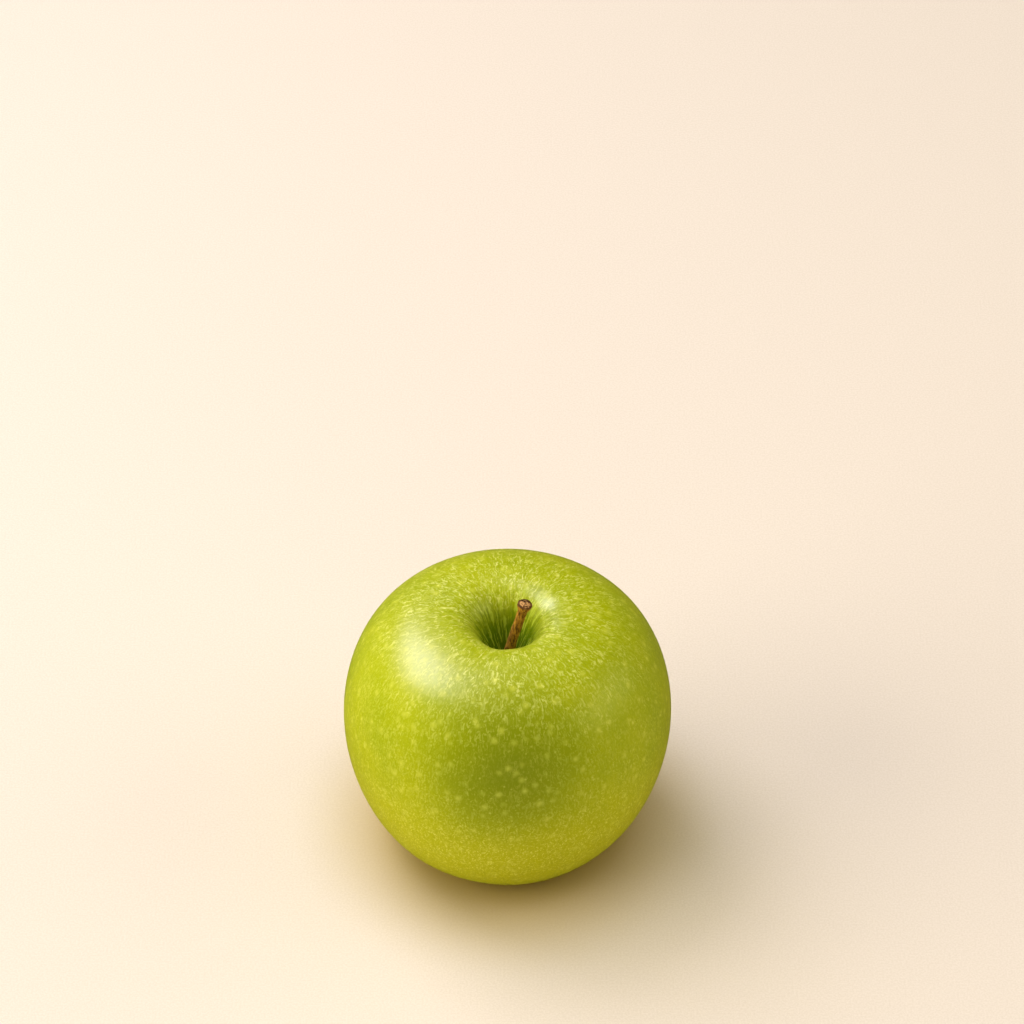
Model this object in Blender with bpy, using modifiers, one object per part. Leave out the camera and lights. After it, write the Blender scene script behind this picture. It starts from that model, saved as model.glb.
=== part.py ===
"""A green apple, standing on the crowns round its calyx basin.

Units are metres and +Z is up. The origin is on the surface that the apple stands on, under the middle of
the fruit. Pieces: the fruit, its woody stem, and the dried calyx under it, which is five sepals round a
tuft of stamens.
"""

import math

import bmesh
import bpy
from mathutils import Matrix, Vector

# The fruit's outline, from its foot to the crest of its shoulders
FRUIT_DIAMETER = 0.080
FRUIT_HEIGHT = 0.0688
WIDEST_HEIGHT = 0.0371
CREST_RADIUS = 0.0150
REST_RADIUS = 0.0141
REST_WIDTH = 0.0036

# How full the outline is between those points: 0 is a straight cone, 1 a square corner
UPPER_SIDE_FULLNESS = 0.50
SHOULDER_FULLNESS = 0.70
LOWER_SIDE_FULLNESS = 0.42
FOOT_FULLNESS = 0.65

# The stem cavity, and the socket at its bottom that the stem grows out of
CAVITY_DEPTH = 0.0160
CAVITY_CREST_REACH = 0.0082
CAVITY_THROAT_RADIUS = 0.0071
CAVITY_THROAT_DROP = 0.0071
SOCKET_DEPTH = 0.0030

# The calyx basin under the fruit, and the open tube in its floor
BASIN_DEPTH = 0.0078
BASIN_FLOOR_RADIUS = 0.0056
BASIN_WALL_REACH = 0.0045
TUBE_RADIUS = 0.0022
TUBE_DEPTH = 0.0028

# What keeps a grown fruit from being perfectly turned
OUT_OF_ROUND = 0.0002
SHOULDER_LEAN = math.radians(0.8)
CROWNS = 5
CROWN_RISE = 0.0007
CROWN_FLAT = 0.0002
CROWN_REACH = 0.014

# The stem
STEM_DIAMETER = 0.0023
STEM_ROOT_SWELL = 1.15
STEM_FLARE = 1.55
STEM_FLARE_LENGTH = 0.0026
STEM_RISE = 0.0045
STEM_LEAN_X = 0.0042
STEM_LEAN_Y = -0.0006
STEM_BEND = 0.0045

# The dried calyx
SEPALS = 5
SEPAL_DROP = 0.0050
SEPAL_WIDTH = 0.0044
SEPAL_THICKNESS = 0.00045
SEPAL_TIP_WIDTH = 0.0004
SEPAL_RING_RADIUS = 0.0045
SEPAL_CLOSE = 0.0036
SEPAL_TIP_RADIUS = 0.0044
SEPAL_UNEVENNESS = 0.08
SEPAL_CUP = 0.25
STAMENS = 11
STAMEN_LENGTH = 0.0042
STAMEN_DIAMETER = 0.00036
STAMEN_SPREAD = 0.0005
STAMEN_DISC_HEIGHT = 0.0008

CLEARANCE = 0.0003  # between two pieces that touch
TURN_STEPS = 60
SEPAL_SEGMENTS = 12

SOCKET_RADIUS = STEM_ROOT_SWELL * STEM_DIAMETER / 2 + CLEARANCE
SOCKET_RIM = FRUIT_HEIGHT - CAVITY_DEPTH
TUBE_TOP = BASIN_DEPTH + TUBE_DEPTH


def cubic(start, start_handle, end_handle, end, count):
    """count + 1 points along one cubic curve, ends included."""
    points = []
    for i in range(count + 1):
        t = i / count
        s = 1 - t
        weights = (s**3, 3 * s * s * t, 3 * s * t * t, t**3)
        corners = (start, start_handle, end_handle, end)
        points.append(sum((w * Vector(p) for w, p in zip(weights, corners)), Vector((0,) * len(start))))
    return points


def between(low, high, share):
    return low + (high - low) * share


def smooth_step(value, low, high):
    t = min(max((value - low) / (high - low), 0), 1)
    return t * t * (3 - 2 * t)


def fruit_profile():
    """The fruit's half outline as (radius, height): socket, cavity, shoulder, side, foot, basin, tube."""
    radius = FRUIT_DIAMETER / 2
    rest_outer = REST_RADIUS + REST_WIDTH / 2
    rest_inner = REST_RADIUS - REST_WIDTH / 2
    crest = (CREST_RADIUS, FRUIT_HEIGHT)
    widest = (radius, WIDEST_HEIGHT)
    socket_floor = SOCKET_RIM - SOCKET_DEPTH
    cavity = cubic(
        (SOCKET_RADIUS, SOCKET_RIM),
        (CAVITY_THROAT_RADIUS, FRUIT_HEIGHT - CAVITY_THROAT_DROP),
        (CREST_RADIUS - CAVITY_CREST_REACH, FRUIT_HEIGHT),
        crest,
        14,
    )
    shoulder = cubic(
        crest,
        (between(CREST_RADIUS, radius, SHOULDER_FULLNESS), FRUIT_HEIGHT),
        (radius, between(WIDEST_HEIGHT, FRUIT_HEIGHT, UPPER_SIDE_FULLNESS)),
        widest,
        11,
    )
    side = cubic(
        widest,
        (radius, between(WIDEST_HEIGHT, 0, LOWER_SIDE_FULLNESS)),
        (between(rest_outer, radius, FOOT_FULLNESS), 0),
        (rest_outer, 0),
        11,
    )
    basin = cubic(
        (rest_inner, 0),
        (rest_inner - BASIN_WALL_REACH, 0),
        (BASIN_FLOOR_RADIUS + BASIN_WALL_REACH, BASIN_DEPTH),
        (BASIN_FLOOR_RADIUS, BASIN_DEPTH),
        9,
    )
    bottom_of_socket = [Vector((0, socket_floor)), Vector((SOCKET_RADIUS, socket_floor))]
    tube = [Vector((TUBE_RADIUS, BASIN_DEPTH)), Vector((TUBE_RADIUS, TUBE_TOP)), Vector((0, TUBE_TOP))]
    return bottom_of_socket + cavity + shoulder[1:] + side[1:] + basin + tube


def grown(point):
    """Where a point of the turned fruit ends up: out of round, one shoulder lower, five crowns at its foot."""
    radius = math.hypot(point.x, point.y)
    if radius == 0:
        return point.copy()
    around = math.atan2(point.y, point.x)
    outside = smooth_step(radius, 0.5 * CREST_RADIUS, FRUIT_DIAMETER / 2)
    wave = math.cos(2 * around - 1.6) + 0.6 * math.cos(3 * around - 1.1)
    swell = 1 + OUT_OF_ROUND * outside * wave / radius
    lean = SHOULDER_LEAN * smooth_step(point.z, 0, FRUIT_HEIGHT) * outside
    near_foot = 1 - smooth_step(point.z, 0, CROWN_REACH)
    on_foot = near_foot * smooth_step(radius, BASIN_FLOOR_RADIUS, REST_RADIUS - REST_WIDTH / 2)
    valley = (1 - math.cos(CROWNS * around)) / 2
    lift = max(CROWN_RISE * valley - CROWN_FLAT, 0) * on_foot
    x = point.x * swell + (point.z - WIDEST_HEIGHT) * math.tan(lean)
    return Vector((x, point.y * swell, point.z - point.x * math.sin(lean) + lift))


def principled(name, colour, roughness, metallic=0.0):
    material = bpy.data.materials.new(name)
    material.use_nodes = True
    shader = material.node_tree.nodes["Principled BSDF"]
    shader.inputs["Base Color"].default_value = (*colour, 1)
    shader.inputs["Roughness"].default_value = roughness
    shader.inputs["Metallic"].default_value = metallic
    return material


def add_object(name, data, material, collection):
    obj = bpy.data.objects.new(name, data)
    collection.objects.link(obj)
    if material:
        data.materials.append(material)
    return obj


def make_fruit(material, collection):
    """One solid: the profile turned round the stem's axis, then each point moved as the fruit grew."""
    outline = bpy.data.meshes.new("fruit_outline")
    points = [(p.x, 0, p.y) for p in fruit_profile()]
    edges = [(i, i + 1) for i in range(len(points) - 1)]
    outline.from_pydata(points, edges, [])
    turned = add_object("fruit_outline", outline, None, collection)
    screw = turned.modifiers.new("turn", "SCREW")
    screw.axis = "Z"
    screw.steps = TURN_STEPS
    screw.render_steps = TURN_STEPS
    screw.use_merge_vertices = True
    screw.merge_threshold = 1e-5
    bpy.context.view_layer.update()
    mesh = bpy.data.meshes.new_from_object(turned.evaluated_get(bpy.context.evaluated_depsgraph_get()))
    mesh.name = "fruit"
    bpy.data.objects.remove(turned)
    for vertex in mesh.vertices:
        vertex.co = grown(vertex.co)
    xs = [v.co.x for v in mesh.vertices]
    ys = [v.co.y for v in mesh.vertices]
    middle = Vector((min(xs) + max(xs), min(ys) + max(ys), 0)) / 2
    mesh.transform(Matrix.Translation(-middle))
    mesh.shade_smooth()
    mesh.set_sharp_from_angle(angle=math.radians(50))
    return add_object("fruit", mesh, material, collection), -middle


def stem_route():
    """(point, radius factor) from the root in its socket to the broken end."""
    root = Vector((0, 0, SOCKET_RIM - SOCKET_DEPTH + CLEARANCE))
    collar = Vector((0, 0, SOCKET_RIM + 2 * CLEARANCE))
    tip = Vector((STEM_LEAN_X, STEM_LEAN_Y, FRUIT_HEIGHT + STEM_RISE))
    lean = (tip - collar).normalized()
    free = cubic(collar, collar + Vector((0, 0, STEM_BEND)), tip - STEM_BEND * lean, tip, 12)
    route = [(root.lerp(collar, i / 3), STEM_ROOT_SWELL) for i in range(3)]
    for point in free:
        thin = smooth_step((point - collar).length, 0, 2 * STEM_BEND)
        flare = 1 - smooth_step((tip - point).length, 0, STEM_FLARE_LENGTH)
        route.append((point, between(STEM_ROOT_SWELL, 1, thin) + (STEM_FLARE - 1) * flare))
    return route


def make_stem(material, collection, shift):
    """A round stalk on a curve, thick at its root and flared at its broken end."""
    route = stem_route()
    curve = bpy.data.curves.new("stem", "CURVE")
    curve.dimensions = "3D"
    curve.bevel_depth = STEM_DIAMETER / 2
    curve.bevel_resolution = 4
    curve.use_fill_caps = True
    spline = curve.splines.new("POLY")
    spline.points.add(len(route) - 1)
    for target, (point, factor) in zip(spline.points, route):
        target.co = (*point, 1)
        target.radius = factor
    stem = add_object("stem", curve, material, collection)
    stem.location = shift
    return stem


def sepal_midline(number):
    """(radius, height) down the middle of one sepal: in over the tube, then out again at its tip."""
    foot = BASIN_DEPTH - CLEARANCE - SEPAL_THICKNESS / 4
    own = 1 + SEPAL_UNEVENNESS * math.cos(2.4 * number)
    return cubic(
        (SEPAL_RING_RADIUS, foot),
        (SEPAL_RING_RADIUS - 0.3 * SEPAL_CLOSE, foot - 0.4 * SEPAL_DROP),
        (SEPAL_RING_RADIUS - SEPAL_CLOSE, foot - 0.6 * SEPAL_DROP),
        (own * SEPAL_TIP_RADIUS, foot - own * SEPAL_DROP),
        SEPAL_SEGMENTS,
    )


def make_sepal(number, material, collection, shift):
    """One dried sepal: a narrow leaf bent in over the tube, with its tip curled back."""
    midline = sepal_midline(number)
    bm = bmesh.new()
    bmesh.ops.create_grid(bm, x_segments=4, y_segments=SEPAL_SEGMENTS, size=0.5)
    for vertex in bm.verts:
        across = 2 * vertex.co.x
        along = vertex.co.y + 0.5
        centre = midline[round(SEPAL_SEGMENTS * along)]
        half = between(SEPAL_TIP_WIDTH, SEPAL_WIDTH, (1 - along) ** 0.8) / 2
        cup = SEPAL_CUP * half * across * across
        vertex.co = (centre.x + cup, half * across, centre.y)
    mesh = bpy.data.meshes.new(f"sepal_{number}")
    bm.to_mesh(mesh)
    bm.free()
    sepal = add_object(f"sepal_{number}", mesh, material, collection)
    sepal.location = shift
    sepal.rotation_euler.z = 2 * math.pi * (number - 0.5) / SEPALS
    thick = sepal.modifiers.new("thickness", "SOLIDIFY")
    thick.thickness = SEPAL_THICKNESS
    thick.offset = 0
    mesh.shade_smooth()
    return sepal


def make_stamens(material, collection, cutters, shift):
    """A disc in the top of the tube with the dried stamens hanging from it, joined into one solid."""
    disc_radius = TUBE_RADIUS - CLEARANCE
    disc_top = TUBE_TOP - CLEARANCE
    disc_foot = disc_top - STAMEN_DISC_HEIGHT
    bm = bmesh.new()
    bmesh.ops.create_cone(
        bm,
        cap_ends=True,
        segments=24,
        radius1=disc_radius,
        radius2=disc_radius,
        depth=STAMEN_DISC_HEIGHT,
        matrix=Matrix.Translation((0, 0, (disc_top + disc_foot) / 2)),
    )
    mesh = bpy.data.meshes.new("stamens")
    bm.to_mesh(mesh)
    bm.free()
    stamens = add_object("stamens", mesh, material, collection)
    stamens.location = shift

    bm = bmesh.new()
    ring = disc_radius - STAMEN_DIAMETER - STAMEN_SPREAD
    overlap = STAMEN_DISC_HEIGHT / 2
    for i in range(STAMENS):
        turn = 2 * math.pi * i / (STAMENS - 1)
        out = 0 if i == STAMENS - 1 else 1
        length = STAMEN_LENGTH * (1 + 0.12 * math.cos(5 * i)) + overlap
        tip_shift = STAMEN_SPREAD * math.cos(3 * i) * out
        aim = Vector((tip_shift * math.cos(turn), tip_shift * math.sin(turn), -length))
        tilt = Vector((0, 0, -1)).rotation_difference(aim.normalized()).to_matrix().to_4x4()
        root = Vector((ring * out * math.cos(turn), ring * out * math.sin(turn), disc_foot + overlap))
        bmesh.ops.create_cone(
            bm,
            cap_ends=True,
            segments=8,
            radius1=0.4 * STAMEN_DIAMETER,
            radius2=0.5 * STAMEN_DIAMETER,
            depth=length,
            matrix=Matrix.Translation(root) @ tilt @ Matrix.Translation((0, 0, -length / 2)),
        )
    threads = bpy.data.meshes.new("stamen_threads")
    bm.to_mesh(threads)
    bm.free()
    cutter = add_object("stamen_threads", threads, None, cutters)
    cutter.location = shift
    cutter.hide_render = True
    cutter.display_type = "WIRE"
    join = stamens.modifiers.new("join threads", "BOOLEAN")
    join.operation = "UNION"
    join.solver = "EXACT"
    join.object = cutter
    return stamens


def main():
    for obj in list(bpy.data.objects):
        bpy.data.objects.remove(obj)
    apple = bpy.data.collections.new("apple")
    cutters = bpy.data.collections.new("cutters")
    bpy.context.scene.collection.children.link(apple)
    bpy.context.scene.collection.children.link(cutters)

    skin = principled("apple_skin", (0.30, 0.40, 0.02), 0.3)
    bark = principled("stem_bark", (0.17, 0.09, 0.03), 0.75)
    dried = principled("dried_sepal", (0.13, 0.09, 0.04), 0.85)
    thread = principled("dried_stamen", (0.07, 0.04, 0.02), 0.9)

    _, shift = make_fruit(skin, apple)
    make_stem(bark, apple, shift)
    for number in range(1, SEPALS + 1):
        make_sepal(number, dried, apple, shift)
    make_stamens(thread, apple, cutters, shift)


main()
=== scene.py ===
# %% [markdown]
# # A green apple
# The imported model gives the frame: a fruit, its stem, five dried sepals and a tuft of stamens, in metres,
# standing on z = 0. Every piece that follows is placed from that frame, so the looks and the solid agree.

# %% Load the frame
import math

import bmesh
import bpy
from mathutils import Matrix, Vector, noise


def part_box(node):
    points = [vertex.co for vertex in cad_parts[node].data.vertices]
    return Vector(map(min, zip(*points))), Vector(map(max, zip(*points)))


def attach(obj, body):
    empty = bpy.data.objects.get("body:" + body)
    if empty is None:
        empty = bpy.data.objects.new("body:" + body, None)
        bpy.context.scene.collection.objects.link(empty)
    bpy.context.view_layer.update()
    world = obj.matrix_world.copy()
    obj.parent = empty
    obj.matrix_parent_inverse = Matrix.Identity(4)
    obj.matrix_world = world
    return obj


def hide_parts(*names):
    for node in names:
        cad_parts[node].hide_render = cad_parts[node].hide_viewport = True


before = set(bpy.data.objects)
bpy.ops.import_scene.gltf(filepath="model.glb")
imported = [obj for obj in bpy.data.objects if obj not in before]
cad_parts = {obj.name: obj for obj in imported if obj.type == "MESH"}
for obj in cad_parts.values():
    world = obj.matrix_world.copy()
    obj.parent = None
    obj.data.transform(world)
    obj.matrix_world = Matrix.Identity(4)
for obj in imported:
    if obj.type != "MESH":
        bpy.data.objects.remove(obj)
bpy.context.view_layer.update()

MM = 0.001
FRUIT_LOW, FRUIT_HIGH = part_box("fruit")
FRUIT_HEIGHT = FRUIT_HIGH.z
print("the fruit reaches from", FRUIT_LOW, "to", FRUIT_HIGH)

# %% [markdown]
# ## Camera
# A product shot of fruit on a table looks down on it by about forty degrees, from far enough away that the
# far side isn't much smaller than the near side. The camera is a plain one with a long lens. It is placed
# by turning one vector up from the horizon, which is easier to read than six loose numbers.

# %% Camera
CAMERA_ELEVATION = math.radians(42)
CAMERA_DISTANCE = 1.0768
CAMERA_AIM = Vector((0.0011, 0.0723, 0.0373))
LENS_LENGTH = 147.66  # in millimetres, as camera lenses are sold
SENSOR_WIDTH = 36
scene = bpy.context.scene
lens = bpy.data.cameras.new("camera")
lens.lens = LENS_LENGTH
lens.sensor_width = SENSOR_WIDTH
lens.clip_end = 20
camera = bpy.data.objects.new("camera", lens)
scene.collection.objects.link(camera)
towards_camera = Vector((0, -math.cos(CAMERA_ELEVATION), math.sin(CAMERA_ELEVATION)))
camera.location = CAMERA_AIM + CAMERA_DISTANCE * towards_camera
camera.rotation_euler = (math.pi / 2 - CAMERA_ELEVATION, 0, 0)
scene.camera = camera
scene.view_settings.view_transform = "Standard"
print("the camera stands at", camera.location)

# %% [markdown]
# ## Shader maths as Python
# A material's maths is easier to write and read as an expression than as a chain of nodes. `Wire` holds one
# output socket, and adding, multiplying or raising it puts a Math node behind it. `Finish` is a material
# with a Principled shader, and its `node` method adds any other node in one line: settings first, because
# they decide which sockets there are, then the values or wires of its sockets.

# %% Wire and Finish
class Wire:
    """One output socket. Arithmetic on it adds Math nodes to the same material."""

    def __init__(self, finish, socket):
        self.finish = finish
        self.socket = socket

    def maths(self, operation, *others):
        """A Math node with this wire in its first socket."""
        return self.finish.maths(operation, self, *others)

    def __add__(self, other):
        return self.maths("ADD", other)

    def __radd__(self, other):
        return self.finish.maths("ADD", other, self)

    def __sub__(self, other):
        return self.maths("SUBTRACT", other)

    def __rsub__(self, other):
        return self.finish.maths("SUBTRACT", other, self)

    def __mul__(self, other):
        return self.maths("MULTIPLY", other)

    def __rmul__(self, other):
        return self.finish.maths("MULTIPLY", other, self)

    def __truediv__(self, other):
        return self.maths("DIVIDE", other)

    def __pow__(self, power):
        return self.maths("POWER", power)


class Finish:
    """A material that is built up from nodes in front of one Principled shader."""

    def __init__(self, name, **constants):
        self.material = bpy.data.materials.new(name)
        self.material.use_nodes = True
        self.tree = self.material.node_tree
        self.shader = self.tree.nodes["Principled BSDF"]
        for socket, value in constants.items():
            self.shader.inputs[socket.replace("_", " ")].default_value = value

    def fill(self, socket, value):
        if isinstance(value, Wire):
            self.tree.links.new(value.socket, socket)
        elif isinstance(value, tuple) and socket.type == "RGBA":
            socket.default_value = (*value, 1)
        else:
            socket.default_value = value

    def node(self, kind, settings=None, inputs=None):
        """Adds a node and returns its outputs as wires, by name. Inputs go by name, identifier or number."""
        added = self.tree.nodes.new(kind)
        for name, value in (settings or {}).items():
            setattr(added, name, value)
        for key, value in (inputs or {}).items():
            if isinstance(key, int):
                socket = added.inputs[key]
            else:
                socket = next(s for s in added.inputs if key in (s.identifier, s.name) and s.enabled)
            self.fill(socket, value)
        return {output.name: Wire(self, output) for output in added.outputs if output.enabled}

    def maths(self, operation, *values):
        return self.node("ShaderNodeMath", {"operation": operation}, dict(enumerate(values)))["Value"]

    def wear(self, socket, value):
        self.fill(self.shader.inputs[socket], value)


demo = Finish("demo")
total = demo.node("ShaderNodeValue")["Value"] * 2 + 1
print("a value times 2 plus 1 is a", type(total).__name__, "and makes", len(demo.tree.nodes), "nodes in all")
bpy.data.materials.remove(demo.material)

# %% [markdown]
# A few more helpers cover nearly all that a grown surface needs: a soft step from 0 to 1, a mix of two
# colours, noise at a given place, small round spots, and arithmetic on places. Noise stretched in one
# direction is the base of every streak and fibre here.

# %% Patterns
def step(value, low, high):
    """0 below low, 1 above high and a smooth rise between them. Low may be the larger one."""
    settings = {"interpolation_type": "SMOOTHSTEP"}
    inputs = {"Value": value, "From Min": low, "From Max": high, "To Min": 0.0, "To Max": 1.0}
    if isinstance(low, float) and low > high:
        inputs.update({"From Min": high, "From Max": low, "To Min": 1.0, "To Max": 0.0})
    return value.finish.node("ShaderNodeMapRange", settings, inputs)["Result"]


def blend(factor, first, second):
    """A Mix node for colours. The factor is the share of the second one."""
    settings = {"data_type": "RGBA", "blend_type": "MIX", "clamp_factor": True}
    inputs = {"Factor_Float": factor, "A_Color": first, "B_Color": second}
    finish = next(v.finish for v in (factor, first, second) if isinstance(v, Wire))
    return finish.node("ShaderNodeMix", settings, inputs)["Result"]


def mottle(place, scale, detail=2.0, rough=0.5, output="Fac"):
    """Noise from 0 to 1. Scale is how many of its blotches fit in one unit of the place."""
    inputs = {"Vector": place, "Scale": scale, "Detail": detail, "Roughness": rough}
    outputs = place.finish.node("ShaderNodeTexNoise", {"noise_dimensions": "3D"}, inputs)
    return outputs[output]


def spots(place, scale):
    """The distance from the nearest of many points strewn in space, in the pattern's own unit."""
    settings = {"voronoi_dimensions": "3D", "feature": "F1"}
    return place.finish.node("ShaderNodeTexVoronoi", settings, {"Vector": place, "Scale": scale})["Distance"]


def point(finish, x, y, z):
    return finish.node("ShaderNodeCombineXYZ", None, {"X": x, "Y": y, "Z": z})["Vector"]


def shift(place, other, share=1.0):
    """A place moved by a share of another vector."""
    settings = {"operation": "MULTIPLY_ADD"}
    inputs = {0: other, 1: (share, share, share), 2: place}
    return place.finish.node("ShaderNodeVectorMath", settings, inputs)["Vector"]


def vectors(place, operation, other=None, output="Vector"):
    """One Vector Math node on a place and, where the operation takes two, on another vector."""
    inputs = {0: place} if other is None else {0: place, 1: other}
    return place.finish.node("ShaderNodeVectorMath", {"operation": operation}, inputs)[output]


print("patterns: step, blend, mottle, spots; places: point, shift, vectors")

# %% [markdown]
# ## The surface it stands on
# The apple stands on a smooth cream sheet. A single large quad is enough, because nothing shows its edge.
# A faint grain in its colour keeps it from looking like a flat fill. Two rings of brown round the fruit's
# foot are painted shadow: they make its shadow warmer and deeper there. Waxy skin would mirror a pale sheet
# as a milky rim, so the sheet answers mirrored rays with a dark colour, as a darker cloth would.

# %% Floor
bm = bmesh.new()
bmesh.ops.create_grid(bm, x_segments=1, y_segments=1, size=3)
floor_mesh = bpy.data.meshes.new("floor")
bm.to_mesh(floor_mesh)
bm.free()
floor = bpy.data.objects.new("floor", floor_mesh)
scene.collection.objects.link(floor)
CREAM = (0.78, 0.695, 0.650)
LIGHT_CREAM = (0.84, 0.755, 0.720)
PAINTED_SHADOW_BROWN = (0.52, 0.37, 0.10)
PAINTED_CONTACT_SHADOW = (0.40, 0.28, 0.03)
DARK_IN_MIRRORS = (0.02, 0.03, 0.005)
sheet = Finish("cream_sheet", Roughness=0.85, Specular_IOR_Level=0.05)
place = sheet.node("ShaderNodeTexCoord")["Object"]
grain = mottle(place, 1 / (0.5 * MM), 2.0, 0.6)
cream = blend(step(grain, 0.30, 0.70), CREAM, LIGHT_CREAM)
mirrored = sheet.node("ShaderNodeLightPath")["Is Glossy Ray"]
spot = sheet.node("ShaderNodeSeparateXYZ", None, {"Vector": place})
beside = (spot["X"] ** 2.0 + spot["Y"] ** 2.0) ** 0.5
# Painted shadow: the sheet is tinted brown near the fruit's foot, and a deeper brown closest to it.
cream = blend(step(beside, 56 * MM, 20 * MM) * 0.85, cream, PAINTED_SHADOW_BROWN)
cream = blend(step(beside, 34 * MM, 20 * MM) * 0.6, cream, PAINTED_CONTACT_SHADOW)
sheet.wear("Base Color", blend(mirrored * 0.96, cream, DARK_IN_MIRRORS))
floor_mesh.materials.append(sheet.material)
print("floor", len(floor_mesh.polygons), "face")

# %% [markdown]
# ## Light
# The lights are parted by what they do. Two panels show only in reflections. The window, high behind the
# apple on its left, is the bright patch on the left shoulder and the one on the far wall of the cavity. The
# veil, yellowish and low on the right, is the pale sheen there. Six panels give only the shading: a key from
# the window's side that also makes the soft shadow, and broad ones all round that lighten it. So the shading
# can be changed without moving a highlight, and the skin keeps its deep colour.

# %% Softboxes and room
def softbox(name, azimuth, elevation, distance, width, height, power, colour, only):
    """An area light aimed at the apple. Azimuth 0 is behind it, and positive turns towards +X."""
    light = bpy.data.lights.new(name, "AREA")
    light.shape = "RECTANGLE"
    light.size = width
    light.size_y = height
    light.energy = power
    light.color = colour
    box = bpy.data.objects.new(name, light)
    scene.collection.objects.link(box)
    turn, rise = math.radians(azimuth), math.radians(elevation)
    away = Vector((math.sin(turn) * math.cos(rise), math.cos(turn) * math.cos(rise), math.sin(rise)))
    box.location = Vector((0, 0, FRUIT_HEIGHT / 2)) + distance * away
    box.rotation_euler = away.to_track_quat("Z", "Y").to_euler()
    box.visible_glossy = only != "diffuse"
    box.visible_diffuse = only != "mirrored"


DAYLIGHT = (1.0, 0.97, 0.99)
LAMPLIGHT = (1.0, 0.93, 0.72)
PANEL_YELLOW = (1.0, 1.0, 0.45)
# The columns are name, azimuth, elevation, distance, width, height, power, colour, what it shows in
PANELS = [
    ("window", -62, 50, 1.2, 0.86, 0.62, 57.0, DAYLIGHT, "mirrored"),
    ("veil", 98, 22, 1.1, 0.9, 0.44, 5.2, PANEL_YELLOW, "mirrored"),
    ("key", -48, 52, 1.2, 0.8, 0.8, 8.2, DAYLIGHT, "diffuse"),
    ("left", -104, 26, 1.2, 1.0, 0.8, 10.5, LAMPLIGHT, "diffuse"),
    ("overhead", -20, 82, 1.3, 1.6, 1.6, 7.3, LAMPLIGHT, "diffuse"),
    ("front_high", 180, 62, 1.3, 1.4, 1.2, 3.2, LAMPLIGHT, "diffuse"),
    ("front_low", 172, 8, 1.3, 1.4, 0.4, 2.9, LAMPLIGHT, "diffuse"),
    ("right", 90, 30, 1.2, 1.0, 0.8, 4.5, LAMPLIGHT, "diffuse"),
]
for panel in PANELS:
    softbox(*panel)
ROOM_STRENGTH = 0.02
room = bpy.data.worlds.new("room")
scene.world = room
room.use_nodes = True
room.node_tree.nodes["Background"].inputs["Color"].default_value = (*LAMPLIGHT, 1)
room.node_tree.nodes["Background"].inputs["Strength"].default_value = ROOM_STRENGTH
room.cycles_visibility.glossy = False
print("lights:", [light.name for light in bpy.data.lights])

# %% [markdown]
# ## The fruit's skin: shape
# The solid already has the fruit's outline, its stem cavity and the five crowns that it stands on, as a
# coarse mesh of loose triangles. A copy of it is welded and its triangles joined back into quads, so that
# Subdivision Surface can round it off without pinches. The sculpting is small: the flesh closes round the
# stem, and the rim of the cavity rises and falls a little, as it does on any real apple.

# %% Weld a copy of the fruit
def piece_from(name, bm, finish, node, smooth_levels=0):
    """Makes a finished piece of a bmesh: smooth, riding on the root, standing for one CAD node."""
    mesh = bpy.data.meshes.new(name)
    bm.to_mesh(mesh)
    bm.free()
    for stale in ("custom_normal", "sharp_edge", "sharp_face"):
        if stale in mesh.attributes:
            mesh.attributes.remove(mesh.attributes[stale])
    mesh.materials.clear()
    mesh.materials.append(finish.material)
    mesh.shade_smooth()
    piece = bpy.data.objects.new(name, mesh)
    scene.collection.objects.link(piece)
    if smooth_levels:
        rounded = piece.modifiers.new("rounded", "SUBSURF")
        rounded.levels = smooth_levels
        rounded.render_levels = smooth_levels
    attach(piece, "root")
    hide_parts(node)
    return piece


fruit = bmesh.new()
fruit.from_mesh(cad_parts["fruit"].data)
bmesh.ops.remove_doubles(fruit, verts=fruit.verts, dist=0.01 * MM)
bmesh.ops.join_triangles(
    fruit,
    faces=fruit.faces,
    angle_face_threshold=math.radians(40),
    angle_shape_threshold=math.pi,
    cmp_seam=False,
    cmp_sharp=False,
    cmp_uvs=False,
    cmp_vcols=False,
    cmp_materials=False,
)
fruit.verts.ensure_lookup_table()
quads = sum(len(face.verts) == 4 for face in fruit.faces)
print("welded:", len(fruit.verts), "vertices,", quads, "quads of", len(fruit.faces))

# %% [markdown]
# The streaks on an apple run from the stem to the calyx, along its meridians. To paint them, the material
# has to know how far down its meridian each point is. That length is stored on the mesh: starting from
# the bottom of the stem's socket, each ring of vertices adds the distance to the ring before. The zero is
# then moved to the crest, so that the cavity is negative and the outside positive.

# %% Measure along the meridians
along = fruit.verts.layers.float.new("along")
in_socket = [v for v in fruit.verts if v.co.xy.length < 2 * MM and v.co.z > FRUIT_HEIGHT / 2]
socket_floor = min(v.co.z for v in in_socket)
ring = [v for v in in_socket if v.co.z < socket_floor + 0.1 * MM]
reached = set(ring)
while ring:
    following = {}
    for vertex in ring:
        for edge in vertex.link_edges:
            other = edge.other_vert(vertex)
            if other in reached:
                continue
            length = vertex[along] + (other.co - vertex.co).length
            following[other] = min(length, following.get(other, 1.0))
    for vertex, length in following.items():
        vertex[along] = length
    reached.update(following)
    ring = list(following)
on_crest = [v[along] for v in fruit.verts if v.co.z > FRUIT_HEIGHT - 0.3 * MM]
crest = sum(on_crest) / len(on_crest)
for vertex in fruit.verts:
    vertex[along] -= crest
print("from the crest: stem socket", -crest, "calyx", max(v[along] for v in fruit.verts))

# %% [markdown]
# On a real apple the flesh closes round the stem's root, and the rim of the cavity is never quite level. Both
# could be sculpted by hand. Moving the points by a formula of their length and angle gives the same result
# each time, and each number says what it does.

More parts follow.
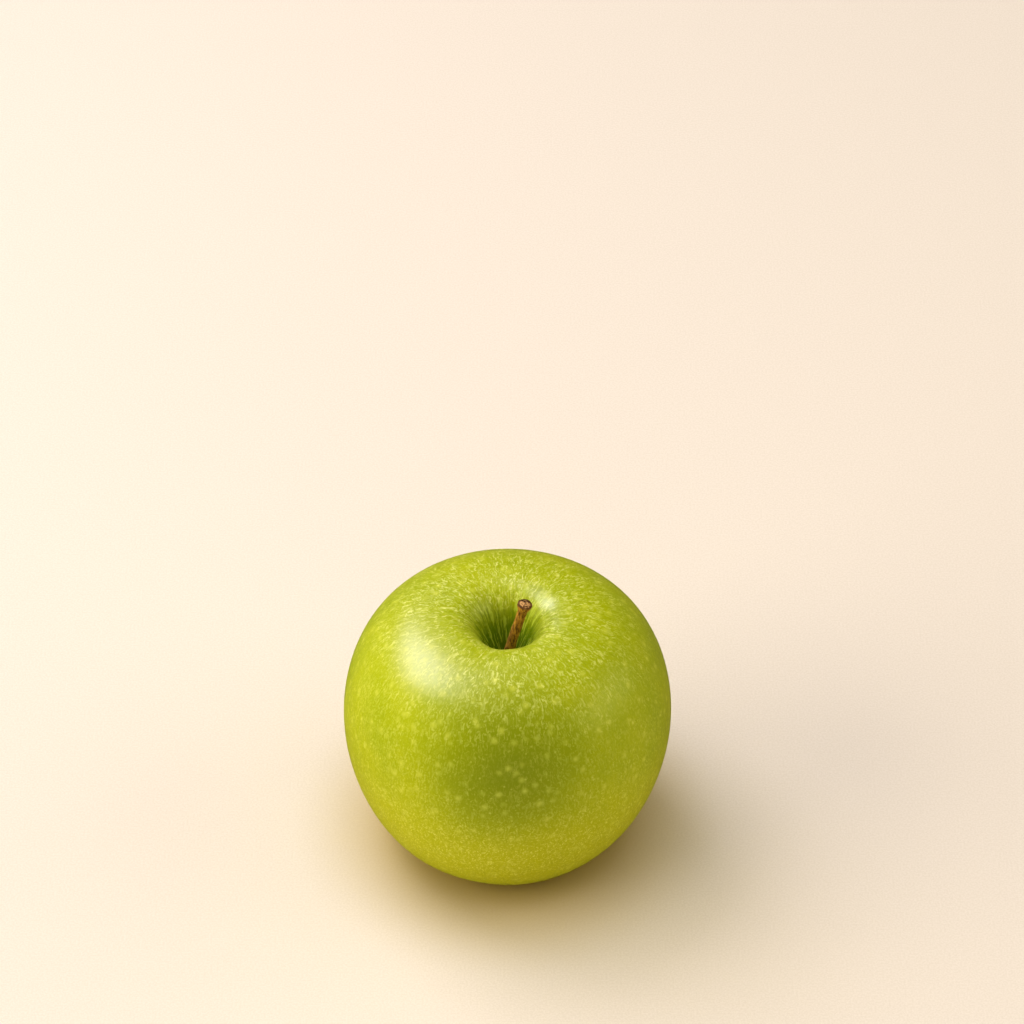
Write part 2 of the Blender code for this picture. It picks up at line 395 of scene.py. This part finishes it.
# %% Sculpt the cavity and its rim
STEM_ROOT_RADIUS = 1.26 * MM
SOCKET_TOP = 53.2 * MM
RIM_HEAVE = 0.32 * MM
for vertex in fruit.verts:
    radius = vertex.co.xy.length
    if vertex[along] < -10 * MM and vertex.co.z < SOCKET_TOP and radius > STEM_ROOT_RADIUS:
        vertex.co.xy *= STEM_ROOT_RADIUS / radius
    if vertex[along] > -20 * MM and vertex[along] < 14 * MM and radius > 3 * MM:
        turn = math.atan2(vertex.co.y, vertex.co.x)
        near_rim = math.exp(-(((vertex[along] + 4 * MM) / (7 * MM)) ** 2))
        lobes = 0.55 * math.cos(5 * turn + 0.4) + 0.3 * math.cos(3 * turn + 2.0) + 0.2 * math.cos(8 * turn)
        vertex.co.z += RIM_HEAVE * near_rim * lobes
print("sculpted: top at", max(v.co.z for v in fruit.verts))

# %% [markdown]
# ## The fruit's skin: finish
# Seen close, the skin is yellow-green with three things on it. Pale, wavy fibres about half a millimetre wide
# run down the meridians, crowded and creamy on the shoulders and long and dark in the cavity. Round pale
# lenticels, the skin's pores, are strewn over the sides. Under both, the green itself drifts in patches, and
# it is russet round the calyx. The cavity is a deeper green, partly its own colour and partly painted shade.
# The front of the fruit is darker with painted shade, and the lower half lighter and yellower with painted
# bounce light.
#
# Fibres are noise stretched along the meridian. Around the fruit, a fixed number of them would be hair-thin
# near the stem and broad at the waist, so four bands of noise with doubling counts are faded into each
# other by the distance from the axis, and the fibres keep their width everywhere.

# %% Skin: where a point is
skin = Finish("green_skin", Specular_IOR_Level=0.15)
place = skin.node("ShaderNodeTexCoord")["Object"]
parts = skin.node("ShaderNodeSeparateXYZ", None, {"Vector": place})
reach = (parts["X"] * parts["X"] + parts["Y"] * parts["Y"] + 1e-9) ** 0.5
along_skin = skin.node("ShaderNodeAttribute", {"attribute_name": "along"})["Fac"]
BAND_RADIUS = 5 * MM
BANDS = 4
octave = (reach / BAND_RADIUS).maths("LOGARITHM", 2.0)
octave = octave.maths("MAXIMUM", 0.0).maths("MINIMUM", BANDS - 1.0)
weights = []
for band in range(BANDS):
    off_band = (octave - band).maths("ABSOLUTE")
    weights.append((1 - off_band).maths("MAXIMUM", 0.0))
evenness = sum((w * w for w in weights), 0.0) ** 0.5
drift = mottle(place, 1 / (1.6 * MM), 1.0, output="Color")


def fibres(width, length, waver, seed):
    """Noise of that width and length along the meridians, 0 on average and about 0.2 deep."""
    total = 0.0
    for band, weight in enumerate(weights):
        count = BAND_RADIUS * 2**band / width
        around_x = parts["X"] / reach * count
        around_y = parts["Y"] / reach * count
        where = point(skin, around_x, around_y, along_skin / length + (seed + 7.3 * band))
        total = total + weight * (mottle(shift(where, drift, waver), 1.0, 1.0) - 0.5)
    return total / evenness


print("the skin has", len(skin.tree.nodes), "nodes so far")

# %% [markdown]
# Every feature of the skin starts as a pattern. Fibres of four sizes run down the fruit, and three mottles
# drift over it: patches as wide as a thumb, clusters of a few millimetres, and a fine curdle. None of them is
# a colour yet, so one pattern can serve the colour, the gloss and the relief.

# %% Skin: patterns
short = fibres(0.46 * MM, 1.5 * MM, 2.8, 0.0)
worms = fibres(0.44 * MM, 0.6 * MM, 3.6, 1.7)
long = fibres(0.46 * MM, 6.0 * MM, 0.9, 3.1)
broad = fibres(0.9 * MM, 2.4 * MM, 2.0, 5.7)
patches = mottle(place, 1 / (17 * MM), 2.0)
clusters = mottle(place, 1 / (3.6 * MM), 2.0)
curdle = mottle(place, 1 / (1.3 * MM), 2.0)
pore = step(spots(shift(place, drift, 0.5 * MM), 1 / (3.4 * MM)), 0.38, 0.0)
speck = step(spots(shift(place, drift, 0.3 * MM), 1 / (2.3 * MM)), 0.17, 0.03)
print("with its patterns the skin has", len(skin.tree.nodes), "nodes")

# %% [markdown]
# Where each feature shows depends on the place: how far down the meridian it is, how high, and how near the
# front. Each zone is a soft step of one of these lengths, so no zone has an edge that can be seen.

# %% Skin: zones
# Painted shade: a darker green round a point on the front of the fruit, with fewer flecks inside it.
PAINTED_SHADE_CENTRE = (0 * MM, -36 * MM, 55 * MM)
cavity = step(along_skin, -5 * MM, -15 * MM)
in_throat = step(along_skin, 4 * MM, -8 * MM)
deep_throat = step(along_skin, 0 * MM, -12 * MM)
out_of_cavity = step(along_skin, -12 * MM, 2 * MM)
upper = step(along_skin, 29 * MM, 4 * MM) * step(along_skin, -11 * MM, -3 * MM)
upper = upper * (1 - 0.30 * step(parts["X"], 4 * MM, 24 * MM))
low_down = step(parts["Z"], 50 * MM, 22 * MM)
flank = low_down * (0.3 + 0.7 * step(parts["Z"], 8 * MM, 22 * MM))
painted_front_shade = step(vectors(place, "DISTANCE", PAINTED_SHADE_CENTRE, "Value"), 29 * MM, 0 * MM)
sides = (1 - 0.6 * painted_front_shade) * (1 - cavity)
crowd = step(clusters, 0.30, 0.62)
by_calyx = step(reach, 7.5 * MM, 3.0 * MM) * step(parts["Z"], 30 * MM, 20 * MM)
print("with its zones the skin has", len(skin.tree.nodes), "nodes")

# %% [markdown]
# The colour is built as a painter would: a ground of two greens, then one glaze after another. Each layer is
# a share of its colour, a pattern times a zone times a strength. Listing them in a table keeps the order
# easy to read and to change. Pale and dark flecks aren't one colour: they are creamier on the shoulders and
# greener in the cavity, like the skin round them.

# %% Skin: layers of colour
CAVITY_GREEN_AND_SHADE = (0.080, 0.148, 0.002)
MID_GREEN = (0.320, 0.385, 0.001)
YELLOW_GREEN = (0.425, 0.465, 0.001)
PAINTED_BOUNCE_YELLOW = (0.510, 0.505, 0.001)
PAINTED_SHADE_GREEN = (0.17, 0.220, 0.0005)
GROOVE_GREEN = (0.085, 0.170, 0.001)
STREAK_GREEN = (0.50, 0.60, 0.05)
PORE_CREAM = (0.76, 0.77, 0.10)
RUSSET = (0.130, 0.100, 0.018)
PALE_ON_SIDES = (0.86, 0.86, 0.16)
PALE_ON_TOP = (0.84, 0.86, 0.26)
PALE_IN_CAVITY = (0.46, 0.56, 0.03)
DARK_OUTSIDE = (0.15, 0.21, 0.001)
DARK_IN_CAVITY = (0.075, 0.135, 0.001)
pale = blend(cavity, blend(upper, PALE_ON_SIDES, PALE_ON_TOP), PALE_IN_CAVITY)
dark = blend(cavity, DARK_OUTSIDE, DARK_IN_CAVITY)
short_share = 0.10 * sides + 0.14 * upper + (0.12 * sides + 0.28 * upper) * crowd
worm_share = (0.09 + 0.10 * crowd + 0.30 * flank) * sides
LAYERS = [
    # painted bounce light: the lower half is lighter and yellower, as if lit from the sheet below
    ("painted bounce light on the lower half", low_down * 0.8, PAINTED_BOUNCE_YELLOW),
    # painted shade: the front of the fruit is darker
    ("painted shade on the front", painted_front_shade * 0.87, PAINTED_SHADE_GREEN),
    # the cavity's deeper green is partly the skin's own colour and partly painted shade in the hollow
    ("cavity", cavity * 0.9, CAVITY_GREEN_AND_SHADE),
    ("grooves", step(long, 0.04, -0.18) * deep_throat * 0.60, GROOVE_GREEN),
    ("streaks", step(long, 0.02, 0.12) * in_throat * 0.65, STREAK_GREEN),
    ("broad fibres", step(broad, 0.07, 0.20) * (0.06 + 0.20 * upper), pale),
    ("short fibres", step(short, 0.02, 0.21) * short_share, pale),
    ("flecks", step(worms, 0.05, 0.16) * worm_share, pale),
    ("gaps between flecks", step(worms, -0.04, -0.17) * 0.12 * sides, dark),
    ("gaps between fibres", step(short, -0.05, -0.18) * (0.05 + 0.16 * upper), dark),
    ("pores", pore * 0.38 * out_of_cavity, PORE_CREAM),
    ("russet", by_calyx * (0.45 + 0.4 * step(curdle, 0.40, 0.60)), RUSSET),
    ("specks", speck * 0.25, pale),
]
green = blend(step(patches + 0.30 * (curdle - 0.5), 0.15, 0.85), MID_GREEN, YELLOW_GREEN)
for _, share, colour in LAYERS:
    green = blend(share, green, colour)
skin.wear("Base Color", green)
print("the skin's layers:", ", ".join(name for name, _, _ in LAYERS))

# %% [markdown]
# An apple's wax is satin. It is smoothest down in the cavity, and duller on the pale fibres, which also stand
# a hair above the rest. That relief is far too small for the mesh, so a Bump node stands in for it.

# %% Skin: wax and relief
wax = mottle(place, 1 / (0.5 * MM), 2.0)
skin.wear("Roughness", 0.29 + 0.10 * wax + 0.10 * step(short, 0.0, 0.2) - 0.10 * cavity)
height = (short * 0.8 + wax * 0.25 + curdle * 0.4) * (1 - cavity)
relief = skin.node("ShaderNodeBump", None, {"Strength": 0.35, "Distance": 0.12 * MM, "Height": height})
skin.wear("Normal", relief["Normal"])
fruit_piece = piece_from("green_skin", fruit, skin, "fruit", smooth_levels=2)
print("fruit piece:", len(fruit_piece.data.polygons), "faces before rounding")

# %% [markdown]
# ## The stem
# An apple's stem is a woody stalk. It is thickest where it grows out of the flesh, it bends to one side, and
# it ends in the knob by which it hung from the spur, with a raised rim and a torn, pitted face. It is swept
# as a tube: a circle is extruded again and again along the stem's own curve, and each new ring is put in
# place with its own radius. Bark ridges are then real geometry, a change of radius round each ring.

# %% Sweep helper
def cubic(start, start_handle, end_handle, end, t):
    """A point on one cubic curve."""
    s = 1 - t
    return s**3 * start + 3 * s * s * t * start_handle + 3 * s * t * t * end_handle + t**3 * end


def smooth(value, low, high):
    t = min(max((value - low) / (high - low), 0.0), 1.0)
    return t * t * (3 - 2 * t)


def sweep(bm, centres, sides, radius_at):
    """Extrudes a circle through the centres. radius_at(ring, angle) gives each radius. Both ends close."""
    side_axis = Vector((1, 0, 0))
    made = bmesh.ops.create_circle(bm, segments=sides, radius=1)["verts"]
    edges = [e for e in bm.edges if e.verts[0] in set(made) and e.verts[1] in set(made)]
    rings = []
    for number, centre in enumerate(centres):
        if number:
            extruded = bmesh.ops.extrude_edge_only(bm, edges=edges)["geom"]
            made = [g for g in extruded if isinstance(g, bmesh.types.BMVert)]
            edges = [g for g in extruded if isinstance(g, bmesh.types.BMEdge)]
            pairs = {e.other_vert(v): v for v in made for e in v.link_edges if e not in edges}
            made = [pairs[v] for v in rings[-1]]
        before = centres[max(number - 1, 0)]
        after = centres[min(number + 1, len(centres) - 1)]
        ahead = (after - before).normalized()
        across = (side_axis - side_axis.dot(ahead) * ahead).normalized()
        upward = ahead.cross(across)
        for side, vertex in enumerate(made):
            angle = 2 * math.pi * side / sides
            radius = radius_at(number, angle)
            vertex.co = centre + radius * (math.cos(angle) * across + math.sin(angle) * upward)
        rings.append(made)
    for end in (rings[0], rings[-1]):
        bmesh.ops.pointmerge(bm, verts=end, merge_co=sum((v.co for v in end), Vector()) / len(end))
    bmesh.ops.recalc_face_normals(bm, faces=bm.faces)


print("sweep closes both ends of what it extrudes")

# %% [markdown]
# The stem's curve is one cubic: straight up out of the flesh, then over to the right. The rings past its tip
# make the knob's torn face, which folds in to its middle. A list of how far along and how wide each is
# shapes it, as a profile would on a lathe.

# %% Stem's curve
STEM_ROOT_Z = 50.1 * MM
STEM_COLLAR_Z = 53.4 * MM
STEM_RADIUS = 1.15 * MM
STEM_BEND = 4.5 * MM
KNOB_RADIUS = 1.78 * MM
KNOB_LENGTH = 2.6 * MM
ROOT_SWELL = 1.15
ROOT_RINGS = 12
FREE_RINGS = 104
axis_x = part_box("stem")[0].x + ROOT_SWELL * STEM_RADIUS
collar = Vector((axis_x, 0.0, STEM_COLLAR_Z))
tip = Vector((axis_x + 4.2 * MM, -0.6 * MM, FRUIT_HEIGHT + 4.5 * MM))
lean = (tip - collar).normalized()
root = Vector((axis_x, 0, STEM_ROOT_Z))
bend_up = collar + Vector((0, 0, STEM_BEND))
centres = [root.lerp(collar, i / ROOT_RINGS) for i in range(ROOT_RINGS)]
for i in range(FREE_RINGS):
    centres.append(cubic(collar, bend_up, tip - STEM_BEND * lean, tip, i / (FREE_RINGS - 1)))
KNOB_FACE = [(0.02, 1.0), (0.10, 0.985), (0.16, 0.94), (0.17, 0.86), (0.08, 0.76)]
KNOB_FACE += [(-0.03, 0.62), (-0.07, 0.45), (-0.05, 0.30), (-0.09, 0.15), (-0.10, 0.04)]
shaft_count = len(centres)
centres += [tip + height * MM * lean for height, _ in KNOB_FACE]
print("stem:", len(centres), "rings, tip at", tip)

# %% [markdown]
# Bark is ridged along the stem, lumpy across it, and here and there warty. Three noises of different stretch
# change each ring's radius. The knob swells, and its face is then pitted along the stem's own direction.

# %% Stem's bark
def bark_radius(number, angle):
    """The stem's radius at one ring and angle: thick root, thin shaft, flared knob, ridged bark."""
    centre = centres[min(number, shaft_count - 1)]
    from_collar = (centre - collar).length * (1 if number > ROOT_RINGS else 0)
    to_tip = (tip - centre).length
    radius = STEM_RADIUS * (ROOT_SWELL - 0.15 * smooth(from_collar, 0, 2 * STEM_BEND))
    radius += (KNOB_RADIUS - STEM_RADIUS) * (1 - smooth(to_tip, 0, KNOB_LENGTH)) ** 1.15
    height = centre.z / MM
    here = Vector((math.cos(angle), math.sin(angle), 0))
    ridges = noise.noise(Vector((here.x * 3.1, here.y * 3.1, height * 0.35)))
    bumps = noise.noise(Vector((here.x * 1.6 + 9, here.y * 1.6, height * 1.1)))
    warts = max(noise.noise(Vector((here.x * 2.4, here.y * 2.4 + 5, height * 1.9))) - 0.25, 0)
    relief = 0.060 * ridges + 0.045 * bumps + 0.20 * warts
    lumps = noise.noise(Vector((here.x * 1.3, here.y * 1.3, 3.7)))
    if number >= shaft_count:
        share = KNOB_FACE[number - shaft_count][1]
        return share * (radius + relief * MM) * (1 + 0.07 * lumps)
    near_knob = 1 - smooth(to_tip, 0, KNOB_LENGTH)
    return (radius + relief * MM) * (1 + 0.07 * (lumps * near_knob))


stalk = bmesh.new()
sweep(stalk, centres, 48, bark_radius)
for vertex in stalk.verts:
    past = (vertex.co - tip).dot(lean)
    if past > -0.25 * MM:
        pit = noise.noise(vertex.co / (0.55 * MM)) + 0.5 * noise.noise(vertex.co / (0.25 * MM))
        vertex.co += 0.16 * MM * min(pit, 0.4) * lean
print("stem mesh:", len(stalk.faces), "faces")

# %% [markdown]
# ## Bark and torn wood
# The bark is brown with orange where it is worn and nearly black in its cracks, which run along the stem. The
# face of the knob is torn wood: paler fibres with dark pits and a dark rim. Which of the two a point wears
# depends on how far past the tip it lies, and the rim on how far it is from the stem's axis. The material
# measures both from the tip, with a dot product and a cross product.

# %% Bark finish
BROWN = (0.27, 0.125, 0.012)
ORANGE = (0.52, 0.255, 0.030)
CRACK = (0.030, 0.015, 0.005)
FLECK = (0.62, 0.37, 0.10)
PIT = (0.075, 0.026, 0.006)
TORN_WOOD = (0.62, 0.33, 0.12)
RIM = (0.110, 0.042, 0.008)
bark = Finish("stem_bark", Specular_IOR_Level=0.06)
place = bark.node("ShaderNodeTexCoord")["Object"]
stretched = bark.node(
    "ShaderNodeMapping",
    {"vector_type": "POINT"},
    {"Vector": place, "Rotation": lean.to_track_quat("Z", "Y").inverted().to_euler(), "Scale": (1, 1, 0.12)},
)["Vector"]
cracks = mottle(stretched, 1 / (0.34 * MM), 3.0, 0.6)
bruises = mottle(place, 1 / (1.5 * MM), 3.0, 0.6)
flecks = mottle(place, 1 / (0.30 * MM), 2.0)
pits = mottle(place, 1 / (0.75 * MM), 2.0)
past = vectors(place, "DOT_PRODUCT", tuple(lean), "Value")
face = step(past - tip.dot(lean), -0.05 * MM, 0.06 * MM)
off_axis = vectors(vectors(place, "SUBTRACT", tuple(tip)), "CROSS_PRODUCT", tuple(lean))
from_axis = vectors(off_axis, "LENGTH", output="Value") + 0.5 * MM * (bruises - 0.5)
wood = blend(step(bruises, 0.30, 0.70), BROWN, ORANGE)
wood = blend(step(cracks, 0.52, 0.38) * 0.80, wood, CRACK)
wood = blend(step(flecks, 0.62, 0.74) * 0.50, wood, FLECK)
torn = blend(step(pits, 0.44, 0.54), PIT, TORN_WOOD)
torn = blend(step(from_axis, 1.10 * MM, 1.40 * MM) * 0.90, torn, RIM)
bark.wear("Base Color", blend(face, wood, torn))
bark.wear("Roughness", 0.58 + 0.25 * cracks)
relief = {"Strength": 0.7, "Distance": 0.15 * MM, "Height": cracks + flecks * 0.5}
bark.wear("Normal", bark.node("ShaderNodeBump", None, relief)["Normal"])
piece_from("woody_stem", stalk, bark, "stem")

# %% [markdown]
# ## The dried calyx
# Under the apple, in its basin, the flower's five sepals have dried to small brown leaves. Each starts as a
# grid that is shaped like a narrow leaf, bent in over the tube and out again at its tip, with a raised
# midrib and curled edges, and is then given a thickness. They are five copies of one recipe, turned round
# the axis and each a little different.

# %% Sepals
BASIN_FLOOR = 7.8 * MM
SEPAL_GAP = 0.3 * MM
SEPAL_FOOT = BASIN_FLOOR - SEPAL_GAP
SEPALS = 5
SEPAL_ALONG = 28
SEPAL_ACROSS = 12
SEPAL_THICKNESS = 0.22 * MM


def sepal(number):
    """One dried sepal as a bmesh, in place."""
    own = 1 + 0.08 * math.cos(2.4 * number)
    start = Vector((4.5 * MM, 0, SEPAL_FOOT))
    start_handle = Vector((3.4 * MM, 0, SEPAL_FOOT - 2.0 * MM))
    end_handle = Vector((0.9 * MM, 0, SEPAL_FOOT - 3.0 * MM))
    end = Vector((4.4 * MM * own, 0, SEPAL_FOOT - 5.0 * MM * own))
    leaf = bmesh.new()
    bmesh.ops.create_grid(leaf, x_segments=SEPAL_ACROSS, y_segments=SEPAL_ALONG, size=0.5)
    for vertex in leaf.verts:
        across, t = 2 * vertex.co.x, vertex.co.y + 0.5
        centre = cubic(start, start_handle, end_handle, end, t)
        half = (0.18 + 2.1 * (1 - t) ** 0.9 * smooth(t, -0.35, 0.18)) * MM
        crinkle = noise.noise(Vector((across * 1.4, t * 5, number * 3.3)))
        cup = ((0.02 + 0.30 * t) * half + 0.25 * MM * t) * across * across
        rib = 0.14 * MM * math.exp(-((across / 0.16) ** 2)) * (1 - t)
        vertex.co = (
            centre.x + cup - rib + 0.16 * MM * crinkle,
            half * across * (1 + 0.06 * crinkle),
            centre.z + 0.10 * MM * crinkle,
        )
    bmesh.ops.recalc_face_normals(leaf, faces=leaf.faces)
    bmesh.ops.solidify(leaf, geom=leaf.faces[:], thickness=SEPAL_THICKNESS)
    turn = Matrix.Rotation(2 * math.pi * (number - 0.5) / SEPALS, 4, "Z")
    bmesh.ops.transform(leaf, matrix=turn, verts=leaf.verts)
    bmesh.ops.recalc_face_normals(leaf, faces=leaf.faces)
    return leaf


DARK_LEAF = (0.105, 0.060, 0.022)
LIGHT_LEAF = (0.26, 0.19, 0.070)
HAIR = (0.42, 0.36, 0.22)
dried = Finish("dried_sepal", Specular_IOR_Level=0.05)
place = dried.node("ShaderNodeTexCoord")["Object"]
blotch = mottle(place, 1 / (0.9 * MM), 3.0)
hairs = mottle(place, 1 / (0.16 * MM), 2.0)
leaf_colour = blend(step(blotch, 0.38, 0.62), DARK_LEAF, LIGHT_LEAF)
leaf_colour = blend(step(hairs, 0.58, 0.72) * 0.5, leaf_colour, HAIR)
dried.wear("Base Color", leaf_colour)
dried.wear("Roughness", 0.75 + 0.2 * blotch)
fuzz = dried.node("ShaderNodeBump", None, {"Strength": 0.6, "Distance": 0.08 * MM, "Height": hairs})
dried.wear("Normal", fuzz["Normal"])
for number in range(1, SEPALS + 1):
    node = f"sepal_{number}"
    leaf_piece = piece_from(f"dried_{node}", sepal(number), dried, node, smooth_levels=1)
print("sepals:", len(leaf_piece.data.polygons), "faces each")

# %% [markdown]
# The flower's stamens have dried to a tuft of dark threads in the mouth of the tube, each with a shrivelled
# head. They hang from a small disc. The threads are short sweeps, and each head is a swelling at its end.

# %% Stamens
STAMENS = 17
TUBE_DISC = 10.0 * MM
GOLDEN_ANGLE = 2.399963  # in radians: it spreads points evenly over a disc
THREAD_RADII = [0.15, 0.13, 0.12, 0.11, 0.10, 0.10, 0.14, 0.26, 0.24, 0.10]


def thread_radius(ring, angle):
    return THREAD_RADII[ring] * MM * (1 + 0.12 * math.cos(3 * angle + ring))


tuft = bmesh.new()
disc_centres = [Vector((0, 0, TUBE_DISC + height * MM)) for height in (0.30, 0.26, 0.0, -0.42, -0.50, -0.52)]
disc_radii = [1.70, 1.88, 1.88, 1.84, 1.50, 0.7]
sweep(tuft, disc_centres, 28, lambda ring, angle: disc_radii[ring] * MM)
for number in range(STAMENS):
    turn = GOLDEN_ANGLE * number
    out = 1.25 * MM * math.sqrt((number + 0.5) / STAMENS)
    length = (3.4 + 0.7 * math.cos(5.0 * number)) * MM
    root = Vector((out * math.cos(turn), out * math.sin(turn), TUBE_DISC - 0.2 * MM))
    swing = Vector((0.45 * math.cos(3.1 * number), 0.45 * math.sin(1.7 * number), 0)) * MM
    thread = []
    for i in range(10):
        t = i / 9
        sideways = swing * math.sin(2.2 * t) + 0.25 * MM * t * Vector((math.cos(turn), math.sin(turn), 0))
        thread.append(root + sideways + Vector((0, 0, -length * t)))
    sweep(tuft, thread, 8, thread_radius)
threads = Finish("dried_stamen", Specular_IOR_Level=0.05)
place = threads.node("ShaderNodeTexCoord")["Object"]
char = mottle(place, 1 / (0.4 * MM), 3.0)
threads.wear("Base Color", blend(step(char, 0.35, 0.65), (0.030, 0.016, 0.008), (0.13, 0.075, 0.030)))
threads.wear("Roughness", 0.7 + 0.25 * char)
tuft_piece = piece_from("dried_stamens", tuft, threads, "stamens")
print("stamens:", len(tuft_piece.data.polygons), "faces")
